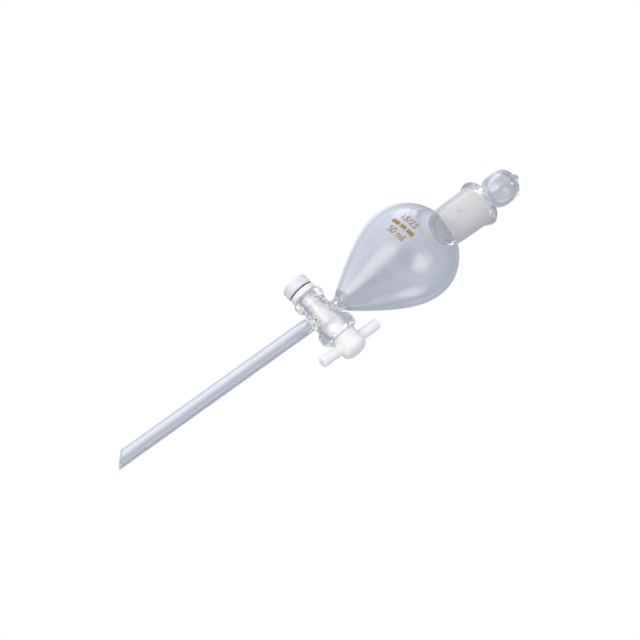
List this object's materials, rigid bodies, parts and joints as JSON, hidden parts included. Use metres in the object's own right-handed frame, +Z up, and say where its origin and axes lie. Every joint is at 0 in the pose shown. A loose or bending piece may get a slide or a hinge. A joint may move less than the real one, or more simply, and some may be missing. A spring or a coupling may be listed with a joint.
{
  "type": "separatory funnel",
  "caption": "Pear-shaped glass separatory funnel with a ground-glass stopper, a PTFE stopcock with T-handle and a long bevelled stem.",
  "frame": {"origin": "on the funnel's axis at the level where a support ring carries the bulb", "axes": "+Z up along the funnel's axis, +X along the stopcock from its nut to its handle, -Y towards the printed front"},
  "size_m": [0.0461, 0.0454, 0.2455],
  "materials": {
    "body_glass": "clear borosilicate glass with a faint blue-grey cast",
    "ground_glass": "ground bore, frosted white behind clear glass",
    "barrel_glass": "thick clear glass, fire polished",
    "stopper_glass": "clear blown head on a ground, frosted cone",
    "ptfe": "white PTFE, waxy satin",
    "nut_plastic": "white moulded plastic, satin",
    "o_ring_rubber": "black rubber, matt"
  },
  "bodies": {
    "funnel": {"pear_bulb": "body_glass", "top_socket": "ground_glass", "stopcock_barrel": "barrel_glass", "drip_stem": "body_glass"},
    "stopper": {"glass_stopper": "stopper_glass"},
    "key": {"key_plug": "ptfe", "t_handle": "ptfe"},
    "gland": {"washer": "ptfe", "o_ring": "o_ring_rubber"},
    "nut": {"lock_nut": "nut_plastic"}
  },
  "joints": [
    {"name": "stopper_lift", "type": "slide", "parent": "funnel", "child": "stopper", "axis": [0, 0, 1], "range_m": [0, 0.035]},
    {"name": "key_turn", "type": "hinge", "parent": "funnel", "child": "key", "pos_m": [0, 0, -0.037], "axis": [1, 0, 0], "continuous": true},
    {"name": "gland_slide", "type": "slide", "parent": "key", "child": "gland", "axis": [-1, 0, 0], "range_m": [0, 0.002]},
    {"name": "nut_turn", "type": "hinge", "parent": "gland", "child": "nut", "pos_m": [-0.0175, 0, -0.037], "axis": [-1, 0, 0], "range_deg": [0, 720]}
  ],
  "couplings": [
    {"joint": "nut_turn", "follows": "gland_slide", "rad_per_m": 6283.2}
  ]
}
